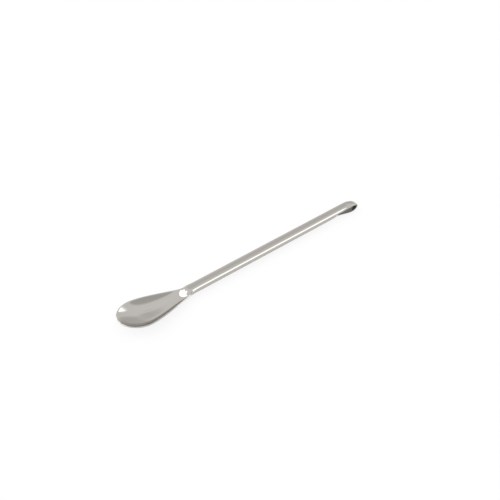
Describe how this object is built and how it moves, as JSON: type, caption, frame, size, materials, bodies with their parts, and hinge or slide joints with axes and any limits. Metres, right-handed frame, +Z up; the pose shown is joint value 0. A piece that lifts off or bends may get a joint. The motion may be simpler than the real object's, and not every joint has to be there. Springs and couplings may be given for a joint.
{
  "type": "lab spatula",
  "caption": "One-piece pressed steel lab spatula: pointed oval bowl, inverted channel handle and a teardrop loop folded from its end.",
  "frame": {"origin": "centre of the bounding box in plan, at the level of the table it rests on", "axes": "X runs along the tool, bowl at -X and end loop at +X; Y across it; Z up, with the bowl's open side facing +Z"},
  "size_m": [0.18, 0.0234, 0.0087],
  "materials": {
    "polished_steel": "stainless sheet, polished all over, with fine rub marks along the handle"
  },
  "bodies": {
    "root": {"spatula": "polished_steel"}
  },
  "joints": []
}
